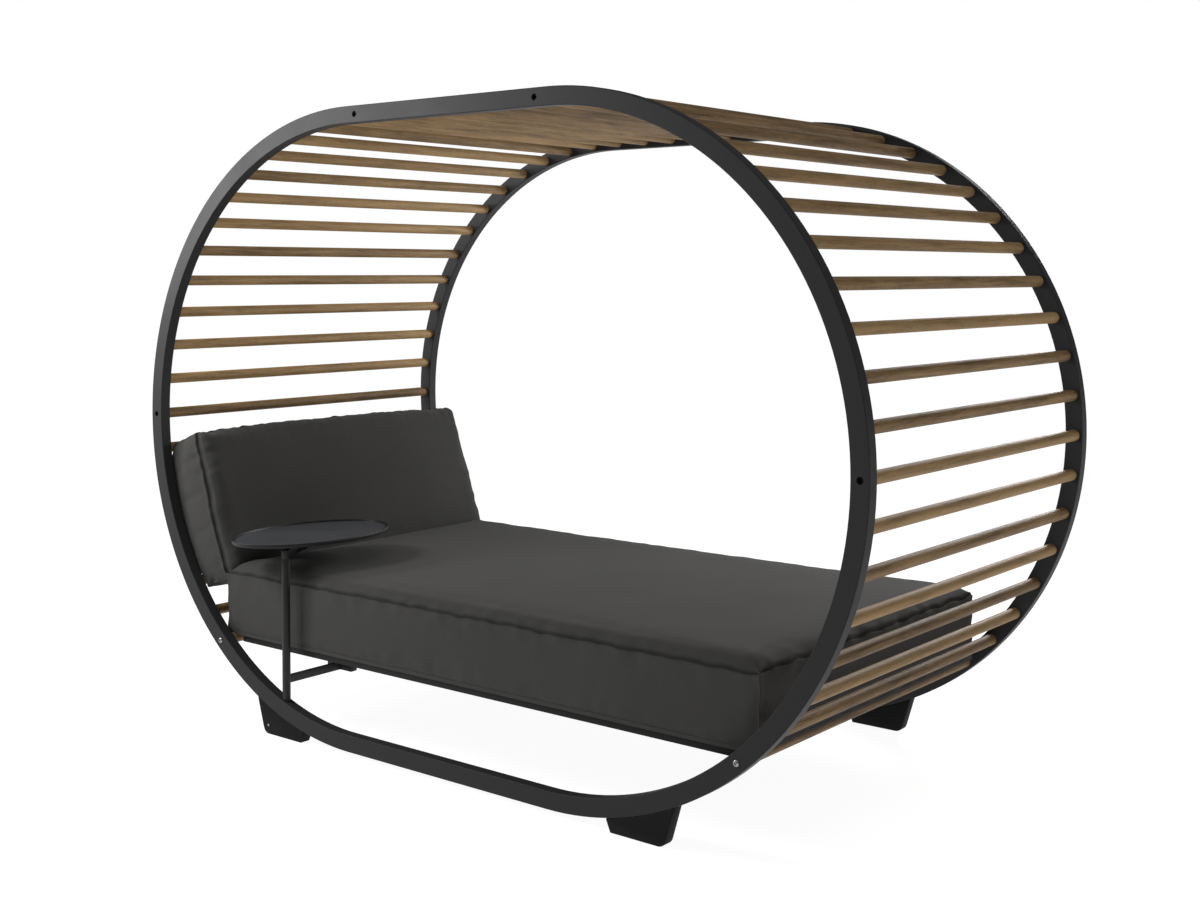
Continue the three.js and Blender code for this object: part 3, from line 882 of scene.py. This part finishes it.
def hem_strip(sizes, edge, drops, place, seed):
    """The flat hem round a cover's foot: a closed folded strip that hangs from the bottom seam."""
    radius = edge * 0.9
    inset, lap, half_thick = 0.0006, 0.0032, 0.0011
    line = [size / 2 - inset for size in sizes[:2]]
    spacing, fade, uneven, sway_width = 0.008, 0.03, 0.0008, 0.0007
    path = []
    for side_x, side_y in ((1, 1), (-1, 1), (-1, -1), (1, -1)):
        middle = Vector((side_x * (line[0] - radius), side_y * (line[1] - radius), 0))
        first = math.atan2(side_y, side_x) - math.pi / 4
        for step in range(7):
            angle = first + math.pi / 2 * step / 6
            outward = Vector((math.cos(angle), math.sin(angle), 0))
            path.append((middle + radius * outward, outward))
        last_x, last_y = path[-1][0].x, path[-1][0].y
        away = Vector((-side_y if side_x * side_y > 0 else 0,
                       side_x if side_x * side_y < 0 else 0, 0))
        length = 2 * (line[0] if away.x else line[1]) - 2 * radius
        for step in range(1, round(length / spacing)):
            share = step / round(length / spacing)
            path.append((Vector((last_x, last_y, 0)) + away * length * share, path[-1][1]))
    profile = [(side * half_thick * math.cos(turn), level + side * half_thick * math.sin(turn))
               for side, level, turn in (
                   (1, -1, -0.9), (1, -1, 0), (1, -0.66, 0), (1, -0.33, 0), (1, 0, 0), (1, 0, 0.9),
                   (-1, 0, -0.9), (-1, 0, 0), (-1, -0.33, 0), (-1, -0.66, 0), (-1, -1, 0),
                   (-1, -1, 0.9))]
    verts = []
    for spot, outward in path:
        to_tip = math.hypot(abs(spot.x) - line[0], abs(spot.y) - line[1])
        drop = drops[0] + (drops[1] - drops[0]) * min(1, max(0, (line[0] - abs(spot.x)) / fade))
        near = math.exp(-to_tip / fade)
        drop += uneven * noise.noise(spot * 22) * (1 + near)
        sway = sway_width * noise.noise(spot * 31 + Vector((seed, 0, 5))) * (1 + near)
        for along, level in profile:
            verts.append(spot + outward * (along + sway * -level)
                         + Vector((0, 0, lap + level * (drop + lap))))
    strip = loose_object("hem", verts, skin_faces(len(path), len(profile), closed=True))
    uv = strip.data.uv_layers.new(name="weave")
    for loop in strip.data.loops:
        spot = verts[loop.vertex_index]
        uv.data[loop.index].uv = (spot.x + spot.y, spot.z)
    facing_out(strip.data)
    mesh = baked(strip)
    mesh.transform(place)
    return mesh


cushion_cloth = woven_cloth("cushion_cloth", (0.040, 0.0393, 0.0368))
deck_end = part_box("bed_deck")[1].x
mattress_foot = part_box("mattress")[0].z
mattress_sizes = (2.0204, 1.176, 0.1875)
mattress_edge = 0.0045
mattress_place = Matrix.Translation((0, hoops_middle, mattress_foot))


def past_deck(x, y):
    """How far the mattress's foot sags where it reaches past the ends of the deck."""
    sag, ease = 0.0025, 0.03
    return sag * np.clip((np.abs(x) - deck_end) / ease, 0, 1)


mattress_mesh = make_cover(
    "mattress_cover", mattress_sizes, cell=0.016, pressure=0.7, cap=0.004,
    form={"taper": 0, "sink": past_deck, "rise": 0.032, "reach": 0.048,
          "hollow": lambda x, y: 0, "crown": 0.0, "pulls": ((0, 0.003), (0, 0.003)),
          "waist": (0.003, 0.003), "edge": mattress_edge},
    seams={"slack": 0.0015, "pitch": 26, "reach": 0.035, "pucker": 0.0004, "swell": 0.0018,
           "ridge": 0.0008, "groove": 0.0036, "corner": 0.0020, "wander": 0.0060,
           "crumple": 0.002},
    place=mattress_place, seed=1)
mattress = finish_mesh("mattress_cover", mattress_mesh, cushion_cloth,
                       replaces=["mattress"], sharp=None)
hem_mesh = hem_strip(mattress_sizes, mattress_edge, drops=(0.0043, 0.0080),
                     place=mattress_place, seed=3)
finish_mesh("mattress_hem", hem_mesh, cushion_cloth)


# Back cushion: a second boxed cushion, thicker at the top. It stands behind the mattress and
# leans on five slats, which press into its back a little. Its ends fill out towards the hoops, and
# its front lies flatter where the tray swings past.
lean = 1.94335
slat_spacing = 0.114437
slat_reach = 0.0168
foot_drop = 0.031
towards = Vector((-math.sin(lean), 0, math.cos(lean)))
upwards = Vector((math.cos(lean), 0, math.sin(lean)))
lean_spread = 2 * slat_spacing / ring_radius
back_distance = ring_radius * math.cos(lean_spread) - slat_reach
back_radius = ring_radius - slat_reach
foot_along = -ring_radius * math.sin(lean_spread) - foot_drop
cushion_height = 0.490
middle_along = foot_along + cushion_height / 2
cushion_middle = (Vector((-half_straight, hoops_middle, ring_height)) + towards * back_distance
                  + upwards * middle_along)
cushion_place = Matrix.Translation(cushion_middle) @ Matrix((
    (0, upwards.x, -towards.x), (1, upwards.y, -towards.y), (0, upwards.z, -towards.z))).to_4x4()
pressing = [(Vector((centre.x, 0, centre.z)) - Vector((cushion_middle.x, 0, cushion_middle.z)))
            @ upwards for centre in slat_centres[:8]]
lowest_press = min(spot for spot in pressing if spot > 0.010 - cushion_height / 2)


def leaning_back(x, y):
    """How far the cushion's back sinks: on the slats' arc, and out between the slats."""
    flat, ease, foot_depth, slat_depth = 0.006, 0.030, 0.016, 0.009
    bow = np.sqrt(back_radius ** 2 - (middle_along + y) ** 2) - back_distance
    nearest = np.min([np.abs(y - spot) for spot in pressing], axis=0)
    share = np.clip((nearest - flat) / ease, 0, 1)
    depth = np.where(y < lowest_press, foot_depth, slat_depth)
    return bow + depth * share * share * (3 - 2 * share)


def tray_hollow(x, y):
    """How far the cushion's front is flattened where the tray swings past."""
    deepest, middle_x, middle_y, half_width, half_height = 0.014, -0.38, -0.085, 0.22, 0.12
    return deepest * np.exp(-((x - middle_x) / half_width) ** 2
                            - ((y - middle_y) / half_height) ** 2)


cushion_mesh = make_cover(
    "back_cushion_cover", (1.176, cushion_height, 0.1215), cell=0.012,
    pressure=1.2, cap=0.004,
    form={"taper": 0.055, "sink": leaning_back, "rise": 0.038, "reach": 0.030,
          "hollow": tray_hollow, "crown": 0.0, "pulls": ((-0.0135, -0.006), (-0.010, -0.010)),
          "waist": (-0.003, 0.004), "edge": 0.006},
    seams={"slack": 0.006, "pitch": 36, "reach": 0.034, "pucker": 0.0070, "swell": 0.0020,
           "ridge": 0.0012, "groove": 0.0040, "corner": 0.0016, "wander": 0.0034,
           "crumple": 0.006},
    place=cushion_place, seed=5)
back_cushion = finish_mesh("back_cushion_cover", cushion_mesh, cushion_cloth,
                           replaces=["back_cushion"], sharp=None)


# Side table: a round post welded to the front hoop, with a flat arm back to the bed's beam. A
# flat bar turns in the post and carries an oval pressed tray with a low rim. A thin plate in a
# lighter grey is laid in the tray.
table_metal = powder_coat("table_metal", (0.018, 0.0182, 0.0185), 0.42, 0.2)
finish_mesh("table_post", eased_copy("table_stand", 0.0008), table_metal,
            replaces=["table_stand"])
finish_mesh("table_arm", eased_copy("table_swivel_arm", 0.0008), table_metal, body="table_swing",
            replaces=["table_swivel_arm"])

tray_low, tray_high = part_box("table_tray")
tray_middle = (tray_low + tray_high) / 2
half_x, half_y = (tray_high.x - tray_low.x) / 2, (tray_high.y - tray_low.y) / 2
floor_z = tray_high.z - 0.007
tray_rings = [
    (0.0040, tray_low.z), (0.0016, tray_low.z + 0.0005), (0.0004, tray_low.z + 0.0018),
    (0.0000, tray_low.z + 0.0034), (0.0000, tray_high.z - 0.0012), (0.0004, tray_high.z - 0.0004),
    (0.0012, tray_high.z), (0.0024, tray_high.z), (0.0031, tray_high.z - 0.0004),
    (0.0035, tray_high.z - 0.0012), (0.0037, floor_z + 0.0022), (0.0045, floor_z + 0.0007),
    (0.0062, floor_z), (0.0300, floor_z), (0.0900, floor_z)]


def oval(rings, steps=144):
    """A closed oval part as wide as the tray, as points and faces. Rings are (inset, level)."""
    verts = []
    for inset, level in rings:
        for step in range(steps):
            angle = 2 * math.pi * step / steps
            verts.append(Vector((tray_middle.x + (half_x - inset) * math.cos(angle),
                                 tray_middle.y + (half_y - inset) * math.sin(angle), level)))
    faces = skin_faces(len(rings), steps)
    faces.append(list(range((len(rings) - 1) * steps, len(rings) * steps)))
    faces.append(list(range(steps - 1, -1, -1)))
    return verts, faces


tray = loose_object("tray", *oval(tray_rings))
facing_out(tray.data)
tray_mesh = baked(tray)
finish_mesh("oval_tray", tray_mesh, table_metal, body="table_swing",
            replaces=["table_tray"], sharp=40)

plate_rings = [(0.0300, floor_z - 0.0005), (0.0078, floor_z - 0.0005), (0.0074, floor_z + 0.0009),
               (0.0078, floor_z + 0.0013), (0.0086, floor_z + 0.0014), (0.0300, floor_z + 0.0014)]
plate = loose_object("plate", *oval(plate_rings))
facing_out(plate.data)
plate_metal = powder_coat("plate_metal", (0.036, 0.038, 0.042), 0.45, 0.3)
finish_mesh("tray_plate", baked(plate), plate_metal, body="table_swing",
            sharp=40)


# Studio: a plain white floor under soft light: a low and a high panel at the front left, one
# behind, and a wide soft glow overhead. The sky is white to the camera and dim to the rest.
floor_material, start = new_material("studio_floor")
place = start.node("TexCoord", out="Object")
close_surface(start, {
    "Base Color": blend_colours(start, speckle(start, place, 3, 3), (0.14, 0.14, 0.14),
                                (0.16, 0.16, 0.16)),
    "Emission Color": (1, 1, 1, 1), "Emission Strength": 0.95,
    "Roughness": 0.85, "Specular IOR Level": 0.1})
ground = loose_object("floor", [(-40, -40, -0.0005), (40, -40, -0.0005), (40, 40, -0.0005),
                                (-40, 40, -0.0005)], [(0, 1, 2, 3)])
ground.data.materials.append(floor_material)

world = bpy.data.worlds.new("studio")
bpy.context.scene.world = world
world.use_nodes = True
world.node_tree.nodes.clear()
start = Wire(world.node_tree)
soft = start.node("Background", None, {"Color": (1, 1, 1, 1), "Strength": 0.12})
seen = start.node("Background", None, {"Color": (1, 1, 1, 1), "Strength": 1.0})
direct = start.node("LightPath", out="Is Camera Ray")
start.node("OutputWorld", None, {
    "Surface": start.node("MixShader", None, {0: direct, 1: soft, 2: seen})})


def light_panel(name, place, aim, size, power):
    lamp = bpy.data.lights.new(name, "AREA")
    lamp.shape = "DISK"
    lamp.size = size
    lamp.energy = power
    holder = bpy.data.objects.new(name, lamp)
    bpy.context.collection.objects.link(holder)
    holder.location = place
    holder.rotation_euler = (Vector(aim) - Vector(place)).to_track_quat("-Z", "Y").to_euler()


light_panel("left_panel", (-2.8, -1.9, 1.7), (-0.6, -0.3, 0.5), 0.6, 38)
light_panel("upper_panel", (-1.9, -1.9, 2.3), (-0.3, 0, 0.9), 0.9, 50)
light_panel("back_panel", (0.5, 2.7, 1.8), (-1.0, 0, 0.6), 1.2, 70)
sky = bpy.data.lights.new("overhead", "SUN")
sky.energy = 0.9
sky.angle = math.radians(70)
overhead = bpy.data.objects.new("overhead", sky)
bpy.context.collection.objects.link(overhead)
overhead.rotation_euler = Vector((0.15, 0.05, 1)).to_track_quat("Z", "Y").to_euler()
bpy.context.scene.view_settings.view_transform = "Standard"
